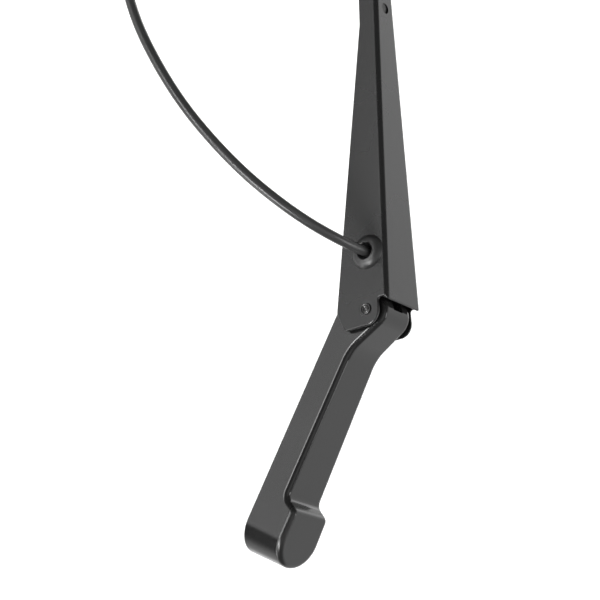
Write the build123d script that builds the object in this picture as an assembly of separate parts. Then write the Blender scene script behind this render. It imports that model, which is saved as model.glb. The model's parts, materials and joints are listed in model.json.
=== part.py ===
from build123d import *
import os
from math import atan2, cos, degrees, floor, hypot, radians, sin, sqrt, tan

# Wiper arm with its washer hose. Millimetres and degrees.
# Row frame: origin on the spindle axis at the head's underside, +Z up the spindle,
# +X along the head towards the hinge, +Y towards the side wall that the hose comes out of.
# Arm frame: origin on the hinge axis, +x along the channel, +z out of its web.

# Head casting
boss_radius = 18.2
boss_height = 29.9
bar_height = 19.8
hinge_reach = 142.6
hinge_height = 21.3
knuckle_radius = 10.9
casting_draft = 1.8
bar_taper = 1.54
edge_round = 3.3
foot_round = 0.35
step_reach = 17.2
step_run = 4.8
step_crown_radius = 4.6
step_root_radius = 6.0
rise_angle = 28.0
rise_root_radius = 28.0
nose_rake = 3.0
core_start = 24.0
core_end = 116.0
core_wall = 3.6
core_roof = 4.4
core_ribs = 2
core_rib_thickness = 2.4
rim_tolerance = 0.05
underside_band = 1.0
cut_overrun = 1.0

# Spindle seat and its cover
spindle_radius = 8.0
spindle_seat = 13.0
nut_well_radius = 13.0
cap_edge_land = 0.5
cap_seam = 0.1
cap_skirt_wall = 1.7
cap_skirt_depth = 6.0
cap_roof = 2.0

# Hinge
rest_droop = 31.9
hinge_pin_radius = 3.0
rivet_head_radius = 3.6
rivet_head_height = 1.1
rivet_head_round = 0.66
rivet_dimple_radius = 1.5
rivet_dimple_depth = 0.5
bush_wall = 1.2
bush_flange_radius = 6.8
bush_flange_gap = 0.3
bush_seat = 13.2
bush_side_gap = 0.25
bush_slot_gap = 0.2
running_clearance = 0.06
press_clearance = 0.02

# Pressed channel
sheet = 1.4
bend_radius = 2.8
channel_width = 35.7
channel_side_taper = 2.37
channel_depth = 36.8
channel_depth_taper = 7.18
channel_length = 232.0
web_height = 15.3
web_end = 3.2
ear_reach = 10.0
ear_top = 8.6
ear_top_radius = 8.0
ear_heel = 16.2
ear_heel_radius = 4.0
ear_end_lean = 0.5
ear_toe = 2.0
ear_toe_radius = 5.0
ear_notch = 5.5
ear_notch_top = 14.4
ear_notch_slope = 1.6
ear_notch_radius = 1.6
web_corner_radius = 1.2
sheet_edge_round = 0.7
skin_tolerance = 0.05
crimp_length = 45.0
crimp_radius = 12.0
rivet_pad_radius = 4.8
rivet_pad_depth = 0.2
stake_end_gap = 14.8
stake_pitch = 20.0
stakes = 2
stake_radius = 3.4
stake_depth = 1.0
stake_tilt = 8.0
stake_clearance = 0.1

# Flat bar with its blade hook
bar_width = 12.0
bar_thickness = 4.0
bar_edge_round = 1.0
bar_end = 433.0
bar_hook_radius = 5.0
bar_hook_leg = 20.0
tongue_width = 6.0
tongue_land = 3.0
shoulder_gap = 2.25
joggle_run = 14.0
joggle_radius = 6.0

# Over-centre spring
spring_pin_radius = 2.25
spring_pin_offset = 8.2
spring_pin_angle = 213.1
spring_pin_inset = 2.0
link_thickness = 5.0
link_limb = 3.6
link_slot_gap = 2.0
link_sweep_gap = 1.0
link_back_gap = 1.5
link_tip_angle = 95.0
link_bend_angle = 200.0
link_pin_gap = 0.4
link_knee_radius = 4.0
link_heel_radius = 6.0
link_neck_radius = 8.0
link_waist = 20.0
link_rise = 13.0
link_length = 50.0
link_eye_radius = 2.5
link_eye_wall = 2.9
anchor_reach = 128.0
anchor_height = 0.0
anchor_hole_radius = 2.5
wire_radius = 1.25
coil_radius = 5.0
coil_gap = 9.0
coil_pitch = 3.4
coil_end_gap = 17.0
quarter_turn = 0.25
hook_turn = 12.0
hook_bend_radius = 1.38
hook_seat_gap = 0.4
lift_range = 100.0

# Washer fittings
hose_radius = 3.0
feed_bore_radius = 1.5
grommet_reach = 35.6
grommet_height = 2.5
grommet_hole_radius = 8.5
grommet_flange_radius = 10.8
grommet_dome = 3.6
grommet_crown_radius = 5.9
grommet_mouth_radius = 5.0
grommet_mouth_height = 2.9
grommet_back_radius = 9.4
grommet_back = 1.0
grommet_play = 0.2
elbow_radius = 4.0
elbow_depth = 7.2
elbow_outlet = 14.0
elbow_socket = 6.0
elbow_seat = 1.2
jet_gap = 8.0
jet_length = 24.0
jet_side_wall = 2.6
jet_drop = 8.0
jet_lip = 1.8
jet_round = 1.5
jet_clearance = 0.1
jet_socket = 5.0
feed_drop = 0.5
feed_offset = 0.6
feed_bow_reach = 142.0
feed_bow_offset = 6.5
feed_bow_height = 6.6
feed_straight = 26.0
feed_bow_radius = 300.0
nozzle_radius = 1.8
nozzle_reach = 15.6
nozzle_rake = 155.0
nozzle_spacing = 9.0
nozzle_length = 5.0
nozzle_show = 1.2
nozzle_bore_radius = 0.5
bend_share = 0.45

# Free washer hose, row frame, from inside the grommet to its cut end
washer_hose_route = [
    (174.0, 12.4, 4.7),
    (174.8, 35.0, 4.2),
    (177.8, 65.5, -18.4),
    (191.5, 89.0, -59.1),
    (217.0, 104.1, -110.9),
    (262.4, 109.4, -171.1),
    (308.0, 108.0, -203.0),
    (354.0, 101.0, -213.0),
]

# Values that follow from the sizes above
arm_frame = Pos(hinge_reach, 0, hinge_height) * Rot(0, rest_droop, 0)
bush_radius = hinge_pin_radius + running_clearance + bush_wall
cap_line = boss_height - edge_round - cap_edge_land
bar_middle = web_height - sheet - bar_thickness / 2
crimp_start = channel_length - crimp_length
stake_start = channel_length - stake_end_gap - (stakes - 1) * stake_pitch
jet_reach = channel_length + jet_gap
coil_start = link_length + coil_gap
link_slot_half = link_thickness / 2 + link_slot_gap
link_ring_radius = spring_pin_radius + running_clearance + link_limb / 2


def channel_half(x):
    """Half of the channel's outer width at a station along the arm."""
    return channel_width / 2 - x * tan(radians(channel_side_taper))


def channel_edge(x):
    """Height of the side walls' lower edge at a station along the arm."""
    return web_height - channel_depth + min(x, crimp_start) * tan(radians(channel_depth_taper))


def spring_pin_place():
    """Centre of the spring pin in the row frame, as x and z."""
    angle = radians(spring_pin_angle)
    return hinge_reach + spring_pin_offset * cos(angle), hinge_height + spring_pin_offset * sin(angle)


def spring_frame():
    """Frame on the spring pin, with +x along the spring's axis at rest."""
    angle = radians(spring_pin_angle + rest_droop)
    pin_x = spring_pin_offset * cos(angle)
    pin_z = spring_pin_offset * sin(angle)
    slope = degrees(atan2(anchor_height - pin_z, anchor_reach - pin_x))
    return arm_frame * Pos(pin_x, 0, pin_z) * Rot(0, -slope, 0)


def spring_span():
    """Distance from the spring pin to the spring's anchor at rest."""
    angle = radians(spring_pin_angle + rest_droop)
    return hypot(anchor_reach - spring_pin_offset * cos(angle), anchor_height - spring_pin_offset * sin(angle))


def bar_along_y(radius, start, end, x=0.0, z=0.0):
    """Round bar along Y between two values of y."""
    bar = Cylinder(radius, end - start, align=(Align.CENTER, Align.CENTER, Align.MIN))
    return Pos(x, start, z) * Rot(-90, 0, 0) * bar


def bar_along_x(radius, start, end, y=0.0, z=0.0):
    """Round bar along X between two values of x."""
    bar = Cylinder(radius, end - start, align=(Align.CENTER, Align.CENTER, Align.MIN))
    return Pos(start, y, z) * Rot(0, 90, 0) * bar


def slab(outline, half_width):
    """Solid between y = -half_width and y = +half_width with an outline drawn in x and z."""
    return extrude(Plane.XZ * make_face(outline), amount=half_width, both=True)


# Head

def head_plan():
    """Plan of the casting at its underside: round boss, then sides that taper to the hinge."""
    slope = radians(bar_taper)
    seam_x = boss_radius * sin(slope)
    seam_y = boss_radius * cos(slope)
    far_x = hinge_reach + 2 * knuckle_radius
    far_y = (boss_radius - far_x * sin(slope)) / cos(slope)
    sides = Polyline((seam_x, -seam_y), (far_x, -far_y), (far_x, far_y), (seam_x, seam_y))
    return make_face(sides + CenterArc((0, 0), boss_radius, 90 - bar_taper, 180 + 2 * bar_taper))


def head_side():
    """Side view of the casting: boss, step, flat bar, rise to the knuckle and its nose."""
    back = -2 * boss_radius
    slope = radians(rise_angle)
    crown_x = hinge_reach - knuckle_radius * sin(slope)
    crown_z = hinge_height + knuckle_radius * cos(slope)
    rise_x = crown_x - (crown_z - bar_height) / tan(slope)
    nose_x = hinge_reach + knuckle_radius
    top = FilletPolyline(
        (back, boss_height),
        (step_reach, boss_height),
        (step_reach + step_run, bar_height),
        (rise_x, bar_height),
        (crown_x, crown_z),
        radius=[step_crown_radius, step_root_radius, rise_root_radius],
    )
    knuckle = CenterArc((hinge_reach, hinge_height), knuckle_radius, 0, 90 + rise_angle)
    rest = Polyline((nose_x, hinge_height), (nose_x - nose_rake, 0), (back, 0), (back, boss_height))
    return top + knuckle + rest


def wall_gap(point):
    """How far a point lies inside the casting's drafted side wall."""
    slope = radians(bar_taper)
    if point.X < 0:
        reach = hypot(point.X, point.Y)
    else:
        reach = abs(point.Y) * cos(slope) + point.X * sin(slope)
    return boss_radius - point.Z * tan(radians(casting_draft)) - reach


def is_rim(edge):
    """Whether an edge runs along the top of the casting's side wall."""
    points = [edge @ share for share in (0.0, 0.25, 0.5, 0.75, 1.0)]
    on_wall = all(abs(wall_gap(point)) < rim_tolerance for point in points)
    above = max(point.Z for point in points) > underside_band
    seam = min(point.Z for point in points) < underside_band
    return on_wall and above and not seam


def is_foot(edge):
    """Whether an edge runs along the bottom of the casting's side wall."""
    points = [edge @ share for share in (0.0, 0.5, 1.0)]
    return all(abs(wall_gap(point)) < rim_tolerance and abs(point.Z) < rim_tolerance for point in points)


def head_blank():
    """The casting's outer form, before the cover is parted off and the holes are cut."""
    walls = extrude(head_plan(), amount=hinge_height + 2 * knuckle_radius, taper=casting_draft)
    blank = walls & slab(head_side(), 2 * boss_radius)
    blank = fillet(blank.edges().filter_by(is_rim), edge_round)
    return fillet(blank.edges().filter_by(is_foot), foot_round)


def boss_zone(bottom, top):
    """Box around the boss between two heights."""
    size = 4 * boss_radius
    return Pos(0, 0, bottom) * Box(size, size, top - bottom, align=(Align.CENTER, Align.CENTER, Align.MIN))


def core_pocket():
    """Hollow in the bar's underside, with its cross ribs left standing."""
    slope = radians(bar_taper)
    half_start = (boss_radius - core_start * sin(slope)) / cos(slope) - core_wall
    half_end = (boss_radius - core_end * sin(slope)) / cos(slope) - core_wall
    outline = Polyline(
        (core_start, -half_start), (core_end, -half_end), (core_end, half_end), (core_start, half_start),
        close=True,
    )
    pocket = extrude(make_face(outline), amount=bar_height - core_roof, taper=casting_draft)
    pitch = (core_end - core_start) / (core_ribs + 1)
    rib = Box(core_rib_thickness, 4 * boss_radius, 4 * bar_height)
    for index in range(core_ribs):
        pocket -= Pos(core_start + pitch * (index + 1), 0, 0) * rib
    return pocket


def link_slot():
    """Slot between the knuckle's cheeks that the spring link swings in."""
    pin_x, pin_z = spring_pin_place()
    ring = link_ring_radius + link_limb / 2 + link_sweep_gap
    front = hinge_reach + 3 * knuckle_radius
    height = hinge_height - hinge_pin_radius + link_sweep_gap
    back = pin_x - ring - link_back_gap
    low = Polyline((back, -cut_overrun), (front, -cut_overrun), (front, height), (back, height), close=True)
    slot = slab(low, link_slot_half)
    slot += bar_along_y(ring, -link_slot_half, link_slot_half, pin_x, pin_z)
    open_frame = Pos(hinge_reach, 0, hinge_height) * Rot(0, rest_droop - lift_range, 0)
    size = 4 * knuckle_radius
    shank = Box(size, 2 * link_slot_half, size, align=(Align.CENTER, Align.CENTER, Align.MAX))
    slot += open_frame * Pos(0, 0, link_sweep_gap - hinge_pin_radius) * shank
    return slot


def arm_head():
    """Die-cast head: spindle boss, cored bar and forked hinge knuckle."""
    head = head_blank() - boss_zone(cap_line - cap_seam, 2 * boss_height)
    pin_x, pin_z = spring_pin_place()
    head -= Pos(0, 0, -cut_overrun) * Cylinder(
        spindle_radius, spindle_seat + 2 * cut_overrun, align=(Align.CENTER, Align.CENTER, Align.MIN)
    )
    head -= Pos(0, 0, spindle_seat) * Cylinder(
        nut_well_radius, boss_height, align=(Align.CENTER, Align.CENTER, Align.MIN)
    )
    head -= core_pocket()
    head -= link_slot()
    head -= bar_along_y(bush_radius + press_clearance, -boss_radius, boss_radius, hinge_reach, hinge_height)
    head -= bar_along_y(spring_pin_radius + press_clearance, -boss_radius, boss_radius, pin_x, pin_z)
    for side in (bush_seat, -bush_seat - boss_radius):
        head -= bar_along_y(bush_flange_radius + bush_flange_gap, side, side + boss_radius, hinge_reach, hinge_height)
    return head


def nut_cap():
    """Cover that snaps over the spindle nut and forms the top of the boss."""
    cap = head_blank() & boss_zone(cap_line, 2 * boss_height)
    skirt_radius = nut_well_radius - press_clearance
    inner_radius = skirt_radius - cap_skirt_wall
    cap += Pos(0, 0, cap_line) * Cylinder(
        skirt_radius, cap_skirt_depth, align=(Align.CENTER, Align.CENTER, Align.MAX)
    )
    cap -= Pos(0, 0, cap_line - cap_skirt_depth - cut_overrun) * Cylinder(
        inner_radius,
        boss_height - cap_roof - cap_line + cap_skirt_depth + cut_overrun,
        align=(Align.CENTER, Align.CENTER, Align.MIN),
    )
    return cap


# Hinge

def hinge_pin():
    """Rivet that joins the channel to the head, with a dimpled head at each end."""
    half = channel_half(0) - rivet_pad_depth
    pin = bar_along_y(hinge_pin_radius, -half, half)
    for turn in (0, 180):
        head = bar_along_y(rivet_head_radius, half, half + rivet_head_height)
        head = fillet(head.edges().sort_by(Axis.Y)[-1], rivet_head_round)
        dimple = half + rivet_head_height - rivet_dimple_depth
        head -= bar_along_y(rivet_dimple_radius, dimple, dimple + rivet_head_height)
        pin += Rot(0, 0, turn) * head
    return arm_frame * pin


def hinge_bush(side):
    """Flanged bush between the rivet, one cheek of the head and one wall of the channel."""
    flange_end = channel_half(bush_flange_radius) - sheet - bush_side_gap
    bush = bar_along_y(bush_radius, link_slot_half + bush_slot_gap, bush_seat)
    bush += bar_along_y(bush_flange_radius, bush_seat, flange_end)
    bush -= bar_along_y(hinge_pin_radius + running_clearance, 0, flange_end + cut_overrun)
    return Pos(hinge_reach, 0, hinge_height) * Rot(0, 0, 0 if side > 0 else 180) * bush


def spring_pin():
    """Pin across the head's slot that the spring link hooks on."""
    pin_x, pin_z = spring_pin_place()
    half = bush_seat - spring_pin_inset
    return bar_along_y(spring_pin_radius, -half, half, pin_x, pin_z)


# Channel

def channel_block(inset, overrun):
    """Tapered block under the web, inset by a thickness and longer by an overrun at each end."""
    start = -2 * ear_reach - overrun
    end = channel_length + overrun
    half_start = channel_half(start) - inset
    half_end = channel_half(end) - inset
    outline = Polyline((start, half_start), (end, half_end), (end, -half_end), (start, -half_start), close=True)
    block = extrude(Pos(0, 0, web_height - inset) * make_face(outline), amount=-2 * channel_depth)
    top = block.faces().sort_by(Axis.Z)[-1]
    long_edges = top.edges().sort_by(SortBy.LENGTH)[-2:]
    return fillet(long_edges, bend_radius - inset)


def channel_side():
    """Side view of the channel: web end, eared hinge end, tapering edge and crimped tip."""
    above = web_height + cut_overrun
    ear = FilletPolyline(
        (web_end, above),
        (web_end, ear_notch_top),
        (ear_notch, ear_notch_top - ear_notch_slope),
        (ear_notch, ear_top),
        (-ear_reach, ear_top),
        (-ear_reach - ear_end_lean, -ear_heel),
        (ear_toe, channel_edge(ear_toe)),
        (crimp_start, channel_edge(crimp_start)),
        (channel_length, channel_edge(channel_length)),
        radius=[
            web_corner_radius, web_corner_radius, ear_notch_radius, ear_top_radius,
            ear_heel_radius, ear_toe_radius, crimp_radius,
        ],
    )
    close = Polyline(
        (channel_length, channel_edge(channel_length)),
        (channel_length, above),
        (web_end, above),
    )
    return ear + close


def stake():
    """Round plug half sheared out of the web into the flat bar, with its floor deeper towards the hinge."""
    size = 4 * stake_radius
    plate = Box(size, size, sheet, align=(Align.CENTER, Align.CENTER, Align.MAX))
    return Cylinder(stake_radius, size) & (Pos(0, 0, -stake_depth) * Rot(0, -stake_tilt, 0) * plate)


def is_cut_edge(edge):
    """Whether an edge of the trimmed channel bounds its outer skin, apart from the lines where bends begin."""
    points = [edge @ share for share in (0.0, 0.5, 1.0)]
    on_skin = all(abs(skin_gap(point)) < skin_tolerance for point in points)
    middle = edge @ 0.5
    inward = channel_half(middle.X) - abs(middle.Y)
    drop = web_height - middle.Z
    bend_line = abs(inward - bend_radius) < skin_tolerance and drop < skin_tolerance
    wall_line = abs(drop - bend_radius) < skin_tolerance and inward < skin_tolerance
    return on_skin and not bend_line and not wall_line


def skin_gap(point):
    """How far a point lies inside the channel's outer skin."""
    inward = channel_half(point.X) - abs(point.Y)
    drop = web_height - point.Z
    if inward < bend_radius and drop < bend_radius:
        return bend_radius - hypot(bend_radius - inward, bend_radius - drop)
    return min(inward, drop)


def arm_channel():
    """Folded sheet channel that straddles the head's knuckle and carries the flat bar."""
    channel = channel_block(0, 0) - channel_block(sheet, cut_overrun)
    channel &= slab(channel_side(), channel_width)
    channel = fillet(channel.edges().filter_by(is_cut_edge), sheet_edge_round)
    channel -= bar_along_y(hinge_pin_radius + press_clearance, -channel_width, channel_width)
    pad = channel_half(0) - rivet_pad_depth
    for turn in (0, 180):
        channel -= Rot(0, 0, turn) * bar_along_y(rivet_pad_radius, pad, pad + cut_overrun)
    channel -= grommet_frame() * bar_along_y(grommet_hole_radius, -3 * sheet, 3 * sheet)
    for index in range(stakes):
        place = Pos(stake_start + index * stake_pitch, 0, web_height)
        channel -= place * Cylinder(stake_radius, 3 * sheet)
        channel += place * stake()
    return arm_frame * channel


# Flat bar

def arm_bar():
    """Flat bar: tongue for the spring, joggle up to the web, straight run and blade hook."""
    tongue_end = anchor_reach - 2 * anchor_hole_radius
    joggle_start = anchor_reach + anchor_hole_radius + tongue_land
    shoulder = joggle_start + joggle_run + shoulder_gap
    route = FilletPolyline(
        (tongue_end, anchor_height),
        (joggle_start, anchor_height),
        (joggle_start + joggle_run, bar_middle),
        (bar_end, bar_middle),
        radius=joggle_radius,
    )
    turn_radius = bar_hook_radius + bar_thickness / 2
    route += CenterArc((bar_end, bar_middle - turn_radius), turn_radius, 90, -180)
    route += Line((bar_end, bar_middle - 2 * turn_radius), (bar_end - bar_hook_leg, bar_middle - 2 * turn_radius))
    path = Plane.XZ * Wire(route.edges())
    section = Plane(origin=(tongue_end, 0, anchor_height), x_dir=(0, 1, 0), z_dir=(1, 0, 0))
    bar = sweep(section * RectangleRounded(bar_width, bar_thickness, bar_edge_round), path=path)
    size = 2 * (shoulder - tongue_end)
    side = Box(size, bar_width, size, align=(Align.MAX, Align.MIN, Align.CENTER))
    flank = Pos(shoulder, tongue_width / 2, anchor_height) * side
    bar -= flank
    bar -= mirror(flank, about=Plane.XZ)
    bar -= Pos(anchor_reach, 0, anchor_height) * Cylinder(anchor_hole_radius, 3 * bar_thickness)
    for index in range(stakes):
        bar -= Pos(stake_start + index * stake_pitch, 0, bar_middle) * Cylinder(
            stake_radius + stake_clearance, 2 * bar_thickness
        )
    return arm_frame * bar


# Over-centre spring

def spring_link():
    """C-shaped link that hooks the spring pin and passes under the hinge rivet."""
    open_angle = radians(spring_pin_angle + rest_droop - lift_range)
    shank = spring_pin_offset * sin(open_angle) + hinge_pin_radius + link_pin_gap + link_limb / 2
    ring = link_ring_radius
    bend = radians(link_bend_angle)
    knee = (ring * cos(bend), ring * sin(bend))
    drop = (shank + knee[1]) / -cos(bend)
    foot = (knee[0] - drop * sin(bend), -shank)
    hook = CenterArc((0, 0), ring, link_tip_angle, link_bend_angle - link_tip_angle)
    limb = FilletPolyline(
        knee, foot, (link_waist, -shank), (link_waist + link_rise, 0), (link_length, 0),
        radius=[link_knee_radius, link_heel_radius, link_neck_radius],
    )
    path = Plane.XZ * Wire(hook.edges() + limb.edges())
    tip = radians(link_tip_angle)
    section = Plane(
        origin=(ring * cos(tip), 0, ring * sin(tip)),
        x_dir=(0, 1, 0),
        z_dir=(-sin(tip), 0, cos(tip)),
    )
    link = sweep(section * Rectangle(link_thickness, link_limb), path=path)
    eye = link_eye_radius + link_eye_wall
    link += bar_along_y(eye, -link_thickness / 2, link_thickness / 2, link_length)
    link -= bar_along_y(link_eye_radius, -link_thickness, link_thickness, link_length)
    return spring_frame() * link


def wire_along(path):
    """Round wire along a path."""
    return sweep(Plane(origin=path @ 0, z_dir=path % 0) * Circle(wire_radius), path=path)


def spring_hook(start, tip):
    """Hook of the spring in its x-y plane, from the end coil to a tip on the axis."""
    way = 1 if tip > start else -1
    centre = tip - way * coil_radius
    hook = Line((start, coil_radius, 0), (centre, coil_radius, 0))
    hook += ThreePointArc((centre, coil_radius, 0), (tip, 0, 0), (centre, -coil_radius, 0))
    return wire_along(Wire(hook.edges())) + Pos(start, coil_radius, 0) * Sphere(hook_bend_radius)


def hook_sag(thickness):
    """How far a hook curves away from its tip across a plate of a given thickness."""
    return coil_radius - sqrt(coil_radius**2 - (thickness / 2) ** 2)


def tension_spring():
    """Tension spring from the link's eye to the flat bar's tongue."""
    coil_turns = floor((spring_span() - coil_end_gap - coil_start) / coil_pitch) + quarter_turn
    coil_end = coil_start + coil_turns * coil_pitch
    lead = coil_pitch * hook_turn / 360
    helix = Helix(coil_pitch, coil_turns * coil_pitch, coil_radius)
    coil = Rot(0, 90, 0) * Rot(0, 0, 90) * wire_along(helix)
    spring = Pos(coil_start, 0, 0) * coil
    link_seat = link_length + link_eye_radius - wire_radius - hook_sag(link_thickness) - hook_seat_gap
    anchor_seat = spring_span() - anchor_hole_radius + wire_radius + hook_sag(bar_thickness) + hook_seat_gap
    spring += Rot(hook_turn, 0, 0) * spring_hook(coil_start + lead, link_seat)
    spring += Rot(360 * coil_turns - hook_turn, 0, 0) * spring_hook(coil_end - lead, anchor_seat)
    return spring_frame() * spring


# Washer fittings

def grommet_frame():
    """Frame on the channel's near wall at the grommet, +y straight out of the wall."""
    return Pos(grommet_reach, channel_half(grommet_reach), grommet_height) * Rot(0, 0, -channel_side_taper)


def grommet_rear():
    """Depth of the grommet's rear face behind the wall's outer face."""
    return sheet + grommet_play + grommet_back


def hose_grommet():
    """Grommet with a rounded bead and a flared mouth, snapped into the channel's side wall."""
    grip = hose_radius + press_clearance
    neck = grommet_hole_radius - grommet_play
    crown = (grommet_crown_radius, grommet_dome)
    mouth = (grommet_mouth_radius, grommet_mouth_height)
    body = Polyline(
        mouth,
        (grip, -sheet),
        (grip, -grommet_rear()),
        (grommet_back_radius, -grommet_rear()),
        (grommet_back_radius, -sheet - grommet_play),
        (neck, -sheet - grommet_play),
        (neck, 0),
        (grommet_flange_radius, 0),
    )
    bead = TangentArc(crown, (grommet_flange_radius, 0), tangent=(1, 0))
    bead += TangentArc(crown, mouth, tangent=(-1, 0))
    return arm_frame * grommet_frame() * revolve(make_face(body + bead), axis=Axis.Y)


def hose_elbow():
    """Elbow behind the grommet that turns the washer line along the channel."""
    centre = grommet_frame() * Pos(0, -elbow_depth, 0)
    mouth = elbow_depth - grommet_rear() - grommet_play
    outlet = Pos(*centre.position)
    elbow = centre * (bar_along_y(elbow_radius, 0, mouth) + Sphere(elbow_radius))
    elbow += outlet * bar_along_x(elbow_radius, 0, elbow_outlet)
    elbow -= centre * bar_along_y(feed_bore_radius, 0, elbow_depth)
    elbow -= centre * bar_along_y(hose_radius + press_clearance, mouth - elbow_seat, elbow_depth)
    elbow -= outlet * bar_along_x(feed_bore_radius, 0, elbow_outlet)
    elbow -= outlet * bar_along_x(
        hose_radius + press_clearance, elbow_outlet - elbow_socket, elbow_outlet + cut_overrun
    )
    return arm_frame * elbow


def hose_tube(route, radii):
    """Plain round hose along straight runs joined by tangent arcs."""
    path = FilletPolyline(*route, radius=radii)
    start = Plane(origin=path @ 0, z_dir=path % 0)
    return sweep(start * Circle(hose_radius), path=Wire(path.edges()))


def corner_radii(route):
    """Arc of each corner of a route: a share of its shorter run, over the tangent of half its turn."""
    points = [Vector(*point) for point in route]
    runs = [after - before for before, after in zip(points, points[1:])]
    radii = []
    for before, after in zip(runs, runs[1:]):
        half_turn = radians(before.get_angle(after)) / 2
        radii.append(bend_share * min(before.length, after.length) / tan(half_turn))
    return radii


def washer_hose():
    """Free washer hose outside the arm."""
    radii = corner_radii(washer_hose_route)
    print("washer hose radii", [round(radius) for radius in radii])
    return hose_tube(washer_hose_route, radii)


def feed_hose():
    """Hose inside the channel, from the elbow to the spray jet."""
    centre = (grommet_frame() * Pos(0, -elbow_depth, 0)).position
    start = centre.X + elbow_outlet - elbow_socket
    route = [
        (start, centre.Y, centre.Z),
        (start + feed_straight, centre.Y, centre.Z),
        (feed_bow_reach, feed_bow_offset, feed_bow_height),
        (jet_reach - feed_straight, feed_offset, feed_height()),
        (jet_reach + jet_socket - jet_clearance, feed_offset, feed_height()),
    ]
    return arm_frame * hose_tube(route, [feed_bow_radius] * 3)


def feed_height():
    """Height of the feed hose's middle where it enters the jet."""
    return bar_middle - bar_thickness / 2 - hose_radius - feed_drop


def jet_frame():
    """Frame at the middle of the jet's hose end, on the bar's underside."""
    return Pos(jet_reach, 0, bar_middle - bar_thickness / 2)


def spray_jet():
    """Jet body that clips on the flat bar just past the channel."""
    half = bar_width / 2 + jet_clearance
    top = bar_thickness + 2 * jet_clearance
    body = Pos(jet_length / 2, 0, top + jet_lip) * Box(
        jet_length,
        2 * (half + jet_side_wall),
        jet_drop + top + jet_lip,
        align=(Align.CENTER, Align.CENTER, Align.MAX),
    )
    body = fillet(body.edges().filter_by(Axis.X), jet_round)
    body -= Pos(jet_length / 2, 0, -jet_clearance) * Box(
        2 * jet_length, 2 * half, top, align=(Align.CENTER, Align.CENTER, Align.MIN)
    )
    body -= Pos(jet_length / 2, 0, 0) * Box(
        2 * jet_length, 2 * (half - jet_lip), 4 * top, align=(Align.CENTER, Align.CENTER, Align.MIN)
    )
    feed_z = -hose_radius - feed_drop
    body -= bar_along_x(hose_radius + press_clearance, -cut_overrun, jet_socket, feed_offset, feed_z)
    for side in (-1, 1):
        body -= nozzle_frame(side) * Cylinder(nozzle_radius + press_clearance, 2 * nozzle_length)
    return arm_frame * jet_frame() * body


def nozzle_frame(side):
    """Frame of one nozzle in the jet body, +z pointing the way it sprays."""
    return Pos(nozzle_reach, side * nozzle_spacing / 2, -jet_drop) * Rot(0, nozzle_rake, 0)


def spray_nozzle(side):
    """Turned nozzle pressed into the jet body."""
    nozzle = Pos(0, 0, nozzle_show) * Cylinder(
        nozzle_radius, nozzle_length, align=(Align.CENTER, Align.CENTER, Align.MAX)
    )
    nozzle -= Cylinder(nozzle_bore_radius, 4 * nozzle_length)
    return arm_frame * jet_frame() * nozzle_frame(side) * nozzle


def build():
    """All nodes of the arm, by name."""
    return {
        "arm_head": arm_head(),
        "nut_cap": nut_cap(),
        "hinge_pin": hinge_pin(),
        "hinge_bush_near": hinge_bush(1),
        "hinge_bush_far": hinge_bush(-1),
        "spring_pin": spring_pin(),
        "spring_link": spring_link(),
        "tension_spring": tension_spring(),
        "arm_channel": arm_channel(),
        "arm_bar": arm_bar(),
        "hose_grommet": hose_grommet(),
        "hose_elbow": hose_elbow(),
        "washer_hose": washer_hose(),
        "feed_hose": feed_hose(),
        "spray_jet": spray_jet(),
        "spray_nozzle_near": spray_nozzle(1),
        "spray_nozzle_far": spray_nozzle(-1),
    }


os.makedirs("parts", exist_ok=True)
for name, solid in build().items():
    export_step(solid, f"parts/{name}.step")
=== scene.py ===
"""Looks of a wiper arm: black painted casting and sheet, rubber washer hose, spring gear and spray jet."""

import json
import logging
from dataclasses import dataclass
from enum import Enum, IntEnum
from math import cos, pi, radians, sin
from typing import Any, ClassVar

import bmesh
import bpy
import numpy as np
from mathutils import Matrix, Vector

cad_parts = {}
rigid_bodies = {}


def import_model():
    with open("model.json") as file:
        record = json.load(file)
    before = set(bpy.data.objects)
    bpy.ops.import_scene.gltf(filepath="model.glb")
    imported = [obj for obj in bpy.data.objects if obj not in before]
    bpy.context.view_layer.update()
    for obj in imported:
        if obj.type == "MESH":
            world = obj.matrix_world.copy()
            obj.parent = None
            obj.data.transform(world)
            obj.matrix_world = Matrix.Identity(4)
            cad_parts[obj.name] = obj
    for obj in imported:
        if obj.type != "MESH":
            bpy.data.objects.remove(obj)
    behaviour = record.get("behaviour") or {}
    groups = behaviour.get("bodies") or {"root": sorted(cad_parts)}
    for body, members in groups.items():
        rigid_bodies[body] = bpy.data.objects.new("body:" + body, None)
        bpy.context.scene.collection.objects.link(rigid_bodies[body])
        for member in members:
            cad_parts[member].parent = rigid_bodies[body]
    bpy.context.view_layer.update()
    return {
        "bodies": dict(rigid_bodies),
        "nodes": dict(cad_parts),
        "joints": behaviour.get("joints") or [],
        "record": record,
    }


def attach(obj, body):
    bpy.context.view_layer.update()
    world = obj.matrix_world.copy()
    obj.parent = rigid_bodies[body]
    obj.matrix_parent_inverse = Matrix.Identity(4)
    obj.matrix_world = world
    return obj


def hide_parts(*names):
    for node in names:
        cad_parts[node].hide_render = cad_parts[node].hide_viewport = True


LOG = logging.getLogger("wiper_arm")
MM = 0.001

# Points of a ring that lie closer than this many metres are one point, as at a pole.
MERGE_DISTANCE = 1e-7

# The sRGB curve: a straight line below its knee and a power above it.
SRGB_KNEE = 0.04045
SRGB_SLOPE = 12.92
SRGB_OFFSET = 0.055
SRGB_POWER = 2.4

Array = np.ndarray
Frame = dict[str, Any]
Point = tuple[float, float, float]


class Body(Enum):
    """The rigid bodies of the arm."""

    HEAD = "head"
    CAP = "cap"
    LINK = "link"
    ARM = "arm"


class MixSocket(IntEnum):
    """Sockets of a Mix node that mixes colours: three inputs and the output."""

    FACTOR = 0
    FIRST = 6
    SECOND = 7
    RESULT = 2


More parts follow.
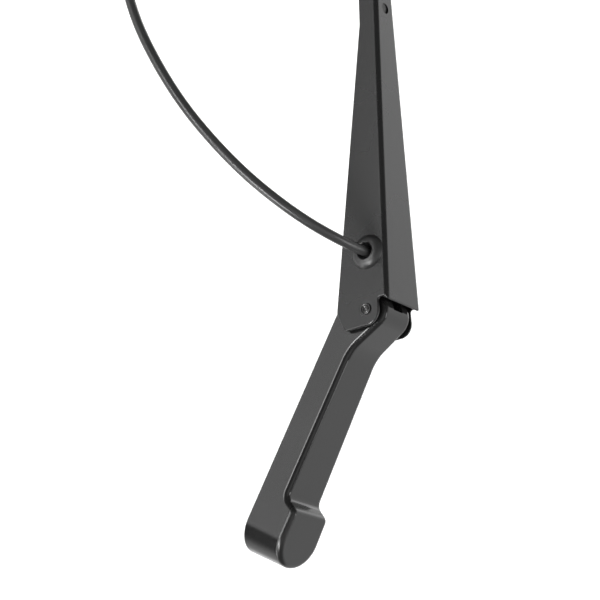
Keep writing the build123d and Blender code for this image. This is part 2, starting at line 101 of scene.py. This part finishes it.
def linear(code: str) -> tuple[float, float, float, float]:
    """Turn an sRGB hex colour into linear light.

    Up to the knee a part is divided by the slope. Above it, the part plus the offset is divided by one plus
    the offset and raised to the power.

    Args:
        code: Six hex digits, with or without a leading hash.

    Returns:
        Red, green, blue and an alpha of one.
    """
    parts = [int(code.lstrip("#")[at : at + 2], 16) / 255 for at in (0, 2, 4)]
    light = [
        part / SRGB_SLOPE if part <= SRGB_KNEE else ((part + SRGB_OFFSET) / (1 + SRGB_OFFSET)) ** SRGB_POWER
        for part in parts
    ]
    return (light[0], light[1], light[2], 1.0)


def add_node(
    tree: bpy.types.NodeTree,
    kind: str,
    settings: dict[str, Any] | None = None,
    inputs: dict[str | int, Any] | None = None,
) -> bpy.types.Node:
    """Add one node with its settings, values and links.

    Args:
        tree: Node tree of the material.
        kind: Blender's node type.
        settings: Properties of the node.
        inputs: Input sockets, each with a value or with the output socket that feeds it.

    Returns:
        The new node.
    """
    node = tree.nodes.new(kind)
    for name, value in (settings or {}).items():
        setattr(node, name, value)
    for name, value in (inputs or {}).items():
        if isinstance(value, bpy.types.NodeSocket):
            tree.links.new(value, node.inputs[name])
        else:
            node.inputs[name].default_value = value
    return node


@dataclass(frozen=True)
class Finish:
    """A surface: what it is made of and how it was finished.

    Two near colours run into each other in soft clouds, the roughness swings with the same clouds, and a
    finer grain gives the bump. Sizes are in millimetres. An IOR of 1.5 suits the paint, the rubber and the
    plastics, and is the default that a metal keeps.
    """

    name: str
    colour: str
    shade: str
    roughness: float
    roughness_swing: float
    grain_mm: float
    grain_height_mm: float
    metallic: float = 0.0
    ior: float = 1.5
    cloud_mm: ClassVar[float] = 40.0
    cloud_detail: ClassVar[float] = 3.0
    cloud_range: ClassVar[tuple[float, float]] = (0.3, 0.7)
    grain_detail: ClassVar[float] = 2.0

    def material(self) -> bpy.types.Material:
        """Build the material: soft cloudy colour, uneven gloss and a fine bump, all on Object coordinates.

        Returns:
            The material, made once and found by name afterwards.
        """
        found = bpy.data.materials.get(self.name)
        if found:
            return found
        made = bpy.data.materials.new(self.name)
        made.use_nodes = True
        tree = made.node_tree
        tree.nodes.clear()
        place = add_node(tree, "ShaderNodeTexCoord").outputs["Object"]
        cloud, grain = (
            add_node(
                tree,
                "ShaderNodeTexNoise",
                {},
                {"Vector": place, "Scale": 1 / (size * MM), "Detail": detail},
            ).outputs["Fac"]
            for size, detail in ((self.cloud_mm, self.cloud_detail), (self.grain_mm, self.grain_detail))
        )
        colour = add_node(
            tree,
            "ShaderNodeMix",
            {"data_type": "RGBA"},
            {
                MixSocket.FACTOR: cloud,
                MixSocket.FIRST: linear(self.colour),
                MixSocket.SECOND: linear(self.shade),
            },
        )
        gloss = add_node(
            tree,
            "ShaderNodeMapRange",
            {},
            {
                "Value": cloud,
                "From Min": self.cloud_range[0],
                "From Max": self.cloud_range[1],
                "To Min": self.roughness - self.roughness_swing,
                "To Max": self.roughness + self.roughness_swing,
            },
        )
        bump = add_node(
            tree,
            "ShaderNodeBump",
            {},
            {"Height": grain, "Strength": 1.0, "Distance": self.grain_height_mm * MM},
        )
        shader = add_node(
            tree,
            "ShaderNodeBsdfPrincipled",
            {},
            {
                "Base Color": colour.outputs[MixSocket.RESULT],
                "Roughness": gloss.outputs["Result"],
                "Metallic": self.metallic,
                "IOR": self.ior,
                "Normal": bump.outputs["Normal"],
            },
        )
        add_node(tree, "ShaderNodeOutputMaterial", {}, {"Surface": shader.outputs["BSDF"]})
        return made


# Stoved black paint on a die casting: an even semi-gloss black with a faint orange peel in its reflections.
CAST_PAINT = Finish("stoved_black_paint_on_casting", "#131313", "#171717", 0.15, 0.02, 1.6, 0.002)
# The same paint on cold rolled sheet: it lies flatter and gives a softer, more satin sheen.
SHEET_PAINT = Finish("stoved_black_paint_on_sheet", "#131313", "#161616", 0.27, 0.02, 2.0, 0.0015)
# The same paint over the tool marks of a spun rivet: a touch livelier, as it lies thinner on the rings.
RIVET_PAINT = Finish("stoved_black_paint_on_spun_rivet", "#131313", "#181818", 0.17, 0.03, 0.5, 0.003)
# Glass filled nylon from a satin mould: a black that blurs what it reflects more than the paint does.
CAP_NYLON = Finish("moulded_black_nylon", "#131313", "#171717", 0.30, 0.03, 1.2, 0.003)
# Moulded acetal: a dull waxy black on the pieces that slide or turn.
BUSH_ACETAL = Finish("moulded_black_acetal", "#121212", "#161616", 0.38, 0.03, 0.8, 0.003)
# Moulded EPDM with a little bloom: a greyer black with broad dull highlights.
GROMMET_RUBBER = Finish("moulded_black_epdm", "#1a1a1a", "#222222", 0.42, 0.05, 0.9, 0.006)
# Extruded EPDM hose: the greyest black, drawn smooth enough to carry one soft streak along its length.
HOSE_RUBBER = Finish("extruded_black_epdm", "#222222", "#2b2b2b", 0.34, 0.04, 0.7, 0.004)
# Ground steel pin: bright grey metal, with grinding marks drawn coarser than they are so that they show.
PIN_STEEL = Finish("ground_steel", "#8a8a8c", "#7a7a7c", 0.30, 0.05, 0.4, 0.002, metallic=1.0)
# Phosphated steel link: dark dull metal with a slight mottle.
LINK_STEEL = Finish("phosphated_steel", "#3a3a3c", "#2e2e30", 0.48, 0.06, 0.5, 0.004, metallic=1.0)
# Oiled spring wire: mid grey metal with a thin bright line on each turn.
SPRING_STEEL = Finish("oiled_spring_wire", "#6a6a6c", "#58585a", 0.32, 0.06, 0.5, 0.003, metallic=1.0)
# Turned brass: warm yellow metal, with tool marks drawn coarser than they are so that they show.
BRASS = Finish("turned_brass", "#b08d4a", "#9c7a3c", 0.28, 0.05, 0.3, 0.002, metallic=1.0)


def dress(obj: bpy.types.Object, finish: Finish) -> bpy.types.Object:
    """Give an object one finish all over.

    Args:
        obj: A CAD node or a new piece.
        finish: The finish.

    Returns:
        The same object.
    """
    obj.data.materials.clear()
    obj.data.materials.append(finish.material())
    return obj


def ring_angles(sides: int) -> Array:
    """Angles of a ring's points, evenly spaced over one turn."""
    return np.linspace(0, 2 * pi, sides, endpoint=False)


def ring_faces(rings: int, sides: int) -> Array:
    """Quads between neighbouring rings of points, with the last point of a ring joined to its first.

    Args:
        rings: Number of rings.
        sides: Number of points in each ring.

    Returns:
        Rows of four vertex numbers.
    """
    ring, side = np.meshgrid(np.arange(rings - 1), np.arange(sides), indexing="ij")
    after = (side + 1) % sides
    here, beyond = ring * sides, (ring + 1) * sides
    return np.stack([here + side, here + after, beyond + after, beyond + side], axis=-1).reshape(-1, 4)


def mesh_piece(name: str, points: Array, faces: Array) -> bpy.types.Object:
    """Make a smooth mesh object from arrays, with each ring that has no radius merged to one point.

    Args:
        name: Name of the piece.
        points: Vertices in metres, on a grid of rings.
        faces: Quads as rows of vertex numbers.

    Returns:
        The linked object, at the origin.
    """
    mesh = bpy.data.meshes.new(name)
    mesh.from_pydata(points.reshape(-1, 3).tolist(), [], faces.tolist())
    shell = bmesh.new()
    shell.from_mesh(mesh)
    bmesh.ops.remove_doubles(shell, verts=shell.verts, dist=MERGE_DISTANCE)
    shell.to_mesh(mesh)
    shell.free()
    mesh.polygons.foreach_set("use_smooth", np.full(len(mesh.polygons), True))
    mesh.update()
    obj = bpy.data.objects.new(name, mesh)
    bpy.context.scene.collection.objects.link(obj)
    return obj


def carried_frames(path: Array) -> tuple[Array, Array]:
    """Two unit vectors across a path at each of its points, at right angles to each other.

    The first is the direction in which the path spreads least, with its part along the path's tangent taken
    away. The second is the tangent crossed with the first.

    Args:
        path: Points along the path.

    Returns:
        The two vectors, one row for each point.
    """
    tangent = np.gradient(path, axis=0)
    tangent /= np.linalg.norm(tangent, axis=1, keepdims=True)
    spread = path - path.mean(axis=0)
    side = np.linalg.svd(spread, full_matrices=False)[2][-1]
    across = side - (tangent @ side)[:, None] * tangent
    across /= np.linalg.norm(across, axis=1, keepdims=True)
    return across, np.cross(tangent, across)


@dataclass
class WasherHose:
    """The free washer hose: its route in metres, its bore and its cut end."""

    route: tuple[Point, ...] = (
        (0.1740, 0.0124, 0.0047),
        (0.1730, 0.0346, 0.0047),
        (0.1777, 0.0658, -0.0189),
        (0.1914, 0.0884, -0.0584),
        (0.2175, 0.1042, -0.1110),
        (0.2600, 0.1097, -0.1716),
        (0.3080, 0.1080, -0.2030),
        (0.3540, 0.1010, -0.2130),
    )
    radius: float = 3.0 * MM
    bore_radius: float = 1.7 * MM
    bore_shown: float = 9.0 * MM
    bore_dish: float = 0.0525 * MM
    lip: float = 0.35 * MM
    lip_steps: int = 4
    line_steps: int = 24
    sides: int = 40
    length: float = 0.345

    def line(self) -> Array:
        """Points of the route's NURBS line.

        Returns:
            Points in order from the grommet to the cut end.
        """
        curve = bpy.data.curves.new("washer_hose_line", "CURVE")
        curve.dimensions = "3D"
        curve.resolution_u = self.line_steps
        spline = curve.splines.new("NURBS")
        spline.points.add(len(self.route) - 1)
        spline.points.foreach_set("co", np.hstack([self.route, np.ones((len(self.route), 1))]).ravel())
        spline.order_u = 3
        spline.use_endpoint_u = True
        carrier = bpy.data.objects.new("washer_hose_line", curve)
        mesh = bpy.data.meshes.new_from_object(carrier)
        points = np.empty(len(mesh.vertices) * 3)
        mesh.vertices.foreach_get("co", points)
        bpy.data.objects.remove(carrier)
        bpy.data.meshes.remove(mesh)
        bpy.data.curves.remove(curve)
        return points.reshape(-1, 3)

    def profile(self, reach: Array) -> tuple[Array, Array]:
        """Distance along the route and radius of each ring of the hose.

        The outer wall starts from a pole and ends in a lip, a quarter circle from the wall to the cut face.
        The face falls a little into the bore, and the bore runs back to a second pole, its closed end.

        Args:
            reach: Distance along the route of each of its points.

        Returns:
            The distances and the radii.
        """
        total = reach[-1]
        wall = reach[reach < total - self.lip]
        turn = np.linspace(0, pi / 2, self.lip_steps + 1)[1:]
        bore_end = total - self.bore_shown
        along = [
            [0.0],
            wall,
            total - self.lip + self.lip * np.sin(turn),
            [total, total - self.bore_dish, bore_end, bore_end],
        ]
        radii = [
            [0.0],
            np.full(len(wall), self.radius),
            self.radius - self.lip + self.lip * np.cos(turn),
            [self.bore_radius + self.lip, self.bore_radius, self.bore_radius, 0.0],
        ]
        return np.concatenate(along), np.concatenate(radii)

    def build(self) -> bpy.types.Object:
        """Carry the round profile along the route.

        A point is the path's point plus the radius times the cosine and sine of the angle along the two
        vectors across the path.

        Returns:
            The hose.
        """
        path = self.line()
        across, up = carried_frames(path)
        steps = np.linalg.norm(np.diff(path, axis=0), axis=1)
        reach = np.concatenate([[0.0], np.cumsum(steps)])
        along, radii = self.profile(reach)
        centre, side, rise = (
            np.stack([np.interp(along, reach, rows[:, axis]) for axis in range(3)], axis=1)[:, None, :]
            for rows in (path, across, up)
        )
        angle = ring_angles(self.sides)[None, :, None]
        points = centre + radii[:, None, None] * (np.cos(angle) * side + np.sin(angle) * rise)
        hose = mesh_piece("washer_hose_tube", points, ring_faces(len(along), self.sides))
        dress(hose, HOSE_RUBBER)
        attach(hose, Body.ARM.value)
        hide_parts("washer_hose")
        return hose


@dataclass
class HingeRivet:
    """Rivet through the hinge, with both ends spun over: lengths in metres."""

    frame: Frame
    joint: str = "arm_hinge"
    shank_radius: float = 3.0 * MM
    shank_half: float = 17.65 * MM
    head_radius: float = 3.6 * MM
    head_height: float = 1.1 * MM
    rim_round: float = 0.55 * MM
    rim_steps: int = 9
    face_steps: int = 70
    groove_pitch: float = 1.3 * MM
    groove_depth: float = 0.26 * MM
    centre_depth: float = 0.45 * MM
    centre_radius: float = 1.1 * MM
    centre_fall: float = 2.0
    sides: int = 96

    def hinge(self) -> Point:
        """Middle of the hinge's axis, as the frame's joint gives it."""
        return next(tuple(joint["pos_m"]) for joint in self.frame["joints"] if joint["name"] == self.joint)

    def head_profile(self) -> Array:
        """Radius and height of one head, from under its rim to its middle.

        A quarter circle rounds the rim. Inside it the height falls by a raised cosine of the radius, which
        gives the spun rings, and by a bell round the middle, which gives the tool's dimple.

        Returns:
            Rows of radius and height.
        """
        turn = np.linspace(0, pi / 2, self.rim_steps)
        flat_edge = self.head_radius - self.rim_round
        rim_radius = flat_edge + self.rim_round * np.cos(turn)
        rim_height = self.head_height - self.rim_round * (1 - np.sin(turn))
        radius = np.linspace(flat_edge, 0.0, self.face_steps)[1:]
        ring = self.groove_depth * (1 - np.cos(2 * pi * (flat_edge - radius) / self.groove_pitch)) / 2
        dimple = self.centre_depth * np.exp(-((radius / self.centre_radius) ** 2) * self.centre_fall)
        under = [[self.shank_radius, 0.0], [self.head_radius, 0.0]]
        rim = np.stack([rim_radius, rim_height], axis=1)
        face = np.stack([radius, self.head_height - ring - dimple], axis=1)
        return np.concatenate([under, rim, face])

    def build(self) -> bpy.types.Object:
        """Turn the two heads and the shank between them about the hinge axis.

        A point is the hinge plus its height along Y plus its radius times the cosine and sine of the angle
        along X and Z.

        Returns:
            The rivet.
        """
        head = self.head_profile()
        near = np.stack([head[:, 0], self.shank_half + head[:, 1]], axis=1)
        far = near[::-1] * (1, -1)
        profile = np.concatenate([far, near])
        radius, along = profile[:, :1], profile[:, 1:]
        angle = ring_angles(self.sides)
        x, y, z = self.hinge()
        places = np.broadcast_arrays(x + radius * np.cos(angle), y + along, z + radius * np.sin(angle))
        faces = ring_faces(len(profile), self.sides)[:, ::-1]
        rivet = mesh_piece("hinge_rivet", np.stack(places, axis=-1), faces)
        dress(rivet, RIVET_PAINT)
        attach(rivet, Body.ARM.value)
        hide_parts("hinge_pin")
        return rivet


@dataclass
class DressedNodes:
    """A sub-assembly whose nodes keep their shape and get a finish each."""

    frame: Frame
    finishes: ClassVar[dict[str, Finish]]

    def dress(self) -> list[bpy.types.Object]:
        """Finish each node of the sub-assembly and return the nodes."""
        return [dress(self.frame["nodes"][name], finish) for name, finish in self.finishes.items()]


@dataclass
class Head(DressedNodes):
    """Cast head with its cover, bushes and spring pin."""

    finishes: ClassVar[dict[str, Finish]] = {
        "arm_head": CAST_PAINT,
        "nut_cap": CAP_NYLON,
        "hinge_bush_near": BUSH_ACETAL,
        "hinge_bush_far": BUSH_ACETAL,
        "spring_pin": PIN_STEEL,
    }


@dataclass
class Channel(DressedNodes):
    """Folded channel with its flat bar and grommet."""

    finishes: ClassVar[dict[str, Finish]] = {
        "arm_channel": SHEET_PAINT,
        "arm_bar": SHEET_PAINT,
        "hose_grommet": GROMMET_RUBBER,
    }


@dataclass
class SpringGear(DressedNodes):
    """Over-centre link and its tension spring."""

    finishes: ClassVar[dict[str, Finish]] = {
        "spring_link": LINK_STEEL,
        "tension_spring": SPRING_STEEL,
    }


@dataclass
class WasherLine(DressedNodes):
    """Elbow, inner hose and spray jet."""

    finishes: ClassVar[dict[str, Finish]] = {
        "hose_elbow": BUSH_ACETAL,
        "feed_hose": HOSE_RUBBER,
        "spray_jet": CAP_NYLON,
        "spray_nozzle_near": BRASS,
        "spray_nozzle_far": BRASS,
    }


@dataclass(frozen=True)
class LightBox:
    """One soft-edged white patch of the surroundings.

    Fields give the heading of its middle from +Y towards +X, its half width, its lowest and highest
    elevation and the width of its soft edge, all in degrees, then its brightness.
    """

    heading: float
    half_width: float
    low: float
    high: float
    soft: float
    brightness: float

    def glow(self, tree: bpy.types.NodeTree, way: bpy.types.NodeSocket) -> bpy.types.NodeSocket:
        """Light that the patch sends from a direction.

        The turn away from the patch's heading and the elevation each pass a smooth step at the patch's
        edges, and the product of the steps scales the brightness.

        Args:
            tree: Node tree of the surroundings.
            way: The direction looked along.

        Returns:
            The light, ready to add to that of the other patches.
        """
        heading = radians(self.heading)
        ahead = (sin(heading), cos(heading), 0.0)
        aside = (cos(heading), -sin(heading), 0.0)
        above = (0.0, 0.0, 1.0)
        dot = {"operation": "DOT_PRODUCT"}
        forward, across, height = (
            add_node(tree, "ShaderNodeVectorMath", dot, {0: way, 1: axis}).outputs["Value"]
            for axis in (ahead, aside, above)
        )
        bearing = add_node(tree, "ShaderNodeMath", {"operation": "ARCTAN2"}, {0: across, 1: forward})
        turn = add_node(tree, "ShaderNodeMath", {"operation": "ABSOLUTE"}, {0: bearing.outputs[0]})
        climb = add_node(tree, "ShaderNodeMath", {"operation": "ARCSINE"}, {0: height})
        weight: Any = self.brightness
        for value, edge, before, after in (
            (turn, self.half_width, 1.0, 0.0),
            (climb, self.low, 0.0, 1.0),
            (climb, self.high, 1.0, 0.0),
        ):
            step = add_node(
                tree,
                "ShaderNodeMapRange",
                {"interpolation_type": "SMOOTHSTEP"},
                {
                    "Value": value.outputs[0],
                    "From Min": radians(edge - self.soft / 2),
                    "From Max": radians(edge + self.soft / 2),
                    "To Min": before,
                    "To Max": after,
                },
            )
            weight = add_node(
                tree, "ShaderNodeMath", {"operation": "MULTIPLY"}, {0: step.outputs["Result"], 1: weight}
            ).outputs[0]
        return weight


@dataclass
class Studio:
    """Pale floor and backdrop, light boxes all round and the camera."""

    floor_height: float = -1.8
    floor_radius: float = 3.0
    floor_glow: float = 0.2
    backdrop_radius: float = 6.0
    backdrop_height: float = 6.0
    backdrop_glow: float = 1.0
    cove_radius: float = 1.0
    cove_steps: int = 16
    sheet_sides: int = 96
    paper: str = "#f2f2f2"
    paper_light: str = "#ffffff"
    paper_roughness: float = 0.9
    lamp_place: Point = (0.2, -0.4, 2.6)
    lamp_size: float = 3.0
    lamp_power: float = 150.0
    camera_place: Point = (0.14285, 1.19203, 0.94983)
    camera_right: Point = (0.38525, -0.59259, 0.70740)
    camera_up: Point = (0.92279, 0.24162, -0.30014)
    lens: float = 152.5
    sensor: float = 36.0
    clip_start: float = 0.05
    ambient: str = "#585858"
    boxes: tuple[LightBox, ...] = (
        # Far side, high: mirrored in the tops of the channel, the head and the cover.
        LightBox(180, 52, 3, 57, 12, 1.02),
        # Far side, low: mirrored in the head's step, the far edges and the far side of the hose.
        LightBox(138, 22, -12, 8, 10, 1.5),
        LightBox(180, 55, -36, -2, 14, 0.95),
        # Near side, low: mirrored in the near walls of the channel and the head.
        LightBox(12, 34, -43.5, -30, 16, 1.95),
        # Thin bright strips, near side: the streak along the middle of the hose.
        LightBox(-9.5, 4.5, -28, -14, 3, 24.0),
        LightBox(-31, 6, -10, 6, 4, 34.0),
        LightBox(-43, 7, 6, 20, 4, 28.0),
        LightBox(-60, 30, -28, -20, 4, 8.0),
        # Near side and overhead: the lines along the near edge of the head's top.
        LightBox(1, 6, -27, -15, 4, 7.5),
        LightBox(140, 45, 62, 82, 6, 5.0),
        LightBox(0, 50, 42, 74, 16, 0.5),
        # Past the head's end, low: mirrored in the boss's side and the lower side of the hose.
        LightBox(-125, 45, -75, -20, 40, 0.95),
        LightBox(-60, 38, -95, -47, 20, 1.0),
    )

    def sheet(self, name: str, radius: Array, height: Array, glow: float) -> bpy.types.Object:
        """Lay a round sheet of white background paper.

        A point is the radius times the cosine and sine of the angle about the vertical, at the profile's
        height.

        Args:
            name: Name of the sheet.
            radius: Radii of the profile, from the middle outwards.
            height: Heights of the profile.
            glow: Light that the paper gives off where the lamp doesn't reach it.

        Returns:
            The sheet, which isn't part of the object.
        """
        angle = ring_angles(self.sheet_sides)
        around = radius[:, None]
        places = np.broadcast_arrays(around * np.cos(angle), around * np.sin(angle), height[:, None])
        sheet = mesh_piece(name, np.stack(places, axis=-1), ring_faces(len(radius), self.sheet_sides))
        paper = bpy.data.materials.new(f"{name}_white_paper")
        paper.use_nodes = True
        shader = paper.node_tree.nodes["Principled BSDF"]
        shader.inputs["Base Color"].default_value = linear(self.paper)
        shader.inputs["Roughness"].default_value = self.paper_roughness
        shader.inputs["Emission Color"].default_value = linear(self.paper_light)
        shader.inputs["Emission Strength"].default_value = glow
        sheet.data.materials.append(paper)
        sheet.visible_glossy = False
        return sheet

    def floor(self) -> None:
        """A pale floor, and a backdrop that curves up from it all round and lights nothing."""
        across = np.array([0.0, self.floor_radius])
        self.sheet("studio_floor", across, np.full(len(across), self.floor_height), self.floor_glow)
        turn = np.linspace(0, pi / 2, self.cove_steps)
        bend_radius = self.backdrop_radius + self.cove_radius * np.sin(turn)
        bend_height = self.floor_height + self.cove_radius * (1 - np.cos(turn))
        radius = np.concatenate([[self.floor_radius], bend_radius, bend_radius[-1:]])
        height = np.concatenate([[self.floor_height], bend_height, [self.backdrop_height]])
        backdrop = self.sheet("studio_backdrop", radius, height, self.backdrop_glow)
        backdrop.visible_diffuse = False
        backdrop.visible_shadow = False

    def lamp(self) -> None:
        """Hang the soft lamp that lights the floor, facing down."""
        light = bpy.data.lights.new("floor_lamp", "AREA")
        light.shape = "SQUARE"
        light.size = self.lamp_size
        light.energy = self.lamp_power
        lamp = bpy.data.objects.new("floor_lamp", light)
        lamp.location = self.lamp_place
        lamp.visible_glossy = False
        lamp.visible_camera = False
        bpy.context.scene.collection.objects.link(lamp)

    def surroundings(self) -> None:
        """Put the light boxes all round as the world's light."""
        world = bpy.data.worlds.new("light_boxes")
        world.use_nodes = True
        tree = world.node_tree
        tree.nodes.clear()
        way = add_node(tree, "ShaderNodeTexCoord").outputs["Generated"]
        total: Any = linear(self.ambient)[:3]
        for box in self.boxes:
            total = add_node(
                tree, "ShaderNodeVectorMath", {"operation": "ADD"}, {0: box.glow(tree, way), 1: total}
            ).outputs["Vector"]
        sky = add_node(tree, "ShaderNodeBackground", {}, {"Color": total})
        add_node(tree, "ShaderNodeOutputWorld", {}, {"Surface": sky.outputs["Background"]})
        bpy.context.scene.world = world

    def camera(self) -> None:
        """Set up the camera at the photograph's place."""
        data = bpy.data.cameras.new("photo_camera")
        data.lens = self.lens
        data.sensor_width = self.sensor
        data.clip_start = self.clip_start
        camera = bpy.data.objects.new("photo_camera", data)
        right, up = Vector(self.camera_right), Vector(self.camera_up)
        turn = Matrix((right, up, right.cross(up))).transposed()
        camera.matrix_world = Matrix.Translation(self.camera_place) @ turn.to_4x4()
        bpy.context.scene.collection.objects.link(camera)
        bpy.context.scene.camera = camera

    def build(self) -> None:
        """Set up camera, floor, lamp and surroundings."""
        self.camera()
        self.floor()
        self.lamp()
        self.surroundings()
        bpy.context.scene.view_settings.view_transform = "Standard"


def main() -> None:
    """Load the frame, set up the studio, build and dress each sub-assembly, and log each piece's finish."""
    logging.basicConfig(level=logging.INFO, format="%(message)s")
    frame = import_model()
    Studio().build()
    made = [WasherHose().build(), HingeRivet(frame).build()]
    for group in (Head(frame), Channel(frame), SpringGear(frame), WasherLine(frame)):
        made += group.dress()
    for piece in made:
        LOG.info("%s: %s", piece.name, piece.active_material.name)


if __name__ == "__main__":
    main()
